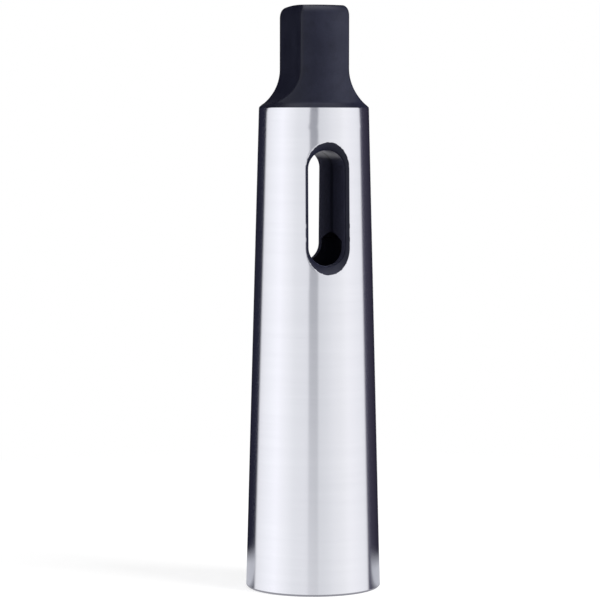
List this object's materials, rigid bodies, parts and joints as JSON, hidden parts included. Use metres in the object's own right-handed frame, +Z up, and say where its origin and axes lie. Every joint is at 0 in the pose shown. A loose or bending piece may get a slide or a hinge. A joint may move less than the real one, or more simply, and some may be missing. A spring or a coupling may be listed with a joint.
{
  "type": "morse taper sleeve",
  "caption": "Drill reduction sleeve: ground Morse 4 taper outside with a flatted drive tang, Morse 3 socket inside and a cross slot for the drift.",
  "frame": {"origin": "centre of the flat large end, at the mouth of the socket", "axes": "+Z up the common axis to the tang, Y through the drift slot, X square to the flats of the tang"},
  "size_m": [0.0324, 0.0324, 0.14],
  "materials": {
    "steel": "ground bright on the tapers, black oxide on the tang, shoulder and slot"
  },
  "bodies": {
    "root": {"sleeve": "steel"}
  },
  "joints": []
}
